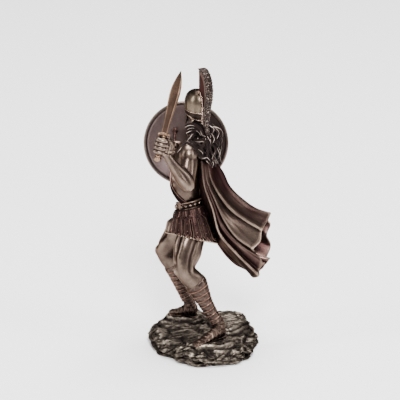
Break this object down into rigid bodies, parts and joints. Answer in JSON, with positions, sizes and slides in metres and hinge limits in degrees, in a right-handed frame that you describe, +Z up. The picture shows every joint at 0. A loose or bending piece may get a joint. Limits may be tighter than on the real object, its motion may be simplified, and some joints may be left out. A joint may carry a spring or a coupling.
{
  "type": "greek hero figurine on a rock base",
  "caption": "Bronze-look figurine of a crested Greek warrior with sword, round shield and flying cloak on a rock base.",
  "frame": {"origin": "on the rock base's flat underside, below the middle of the base's plan", "axes": "+Z up through the figure, the figure faces -X, its shield arm is toward +Y"},
  "size_m": [0.1212, 0.117, 0.2861],
  "materials": {
    "rock": "dark cold-cast bronze, dry-brushed rock",
    "bronze": "dark antique patina, polished on the high spots",
    "shield_bronze": "satin antique bronze",
    "sword_bronze": "satin antique bronze, copper tint"
  },
  "bodies": {
    "root": {"rock_base": "rock", "hero": "bronze", "shield": "shield_bronze", "sword": "sword_bronze"}
  },
  "joints": []
}
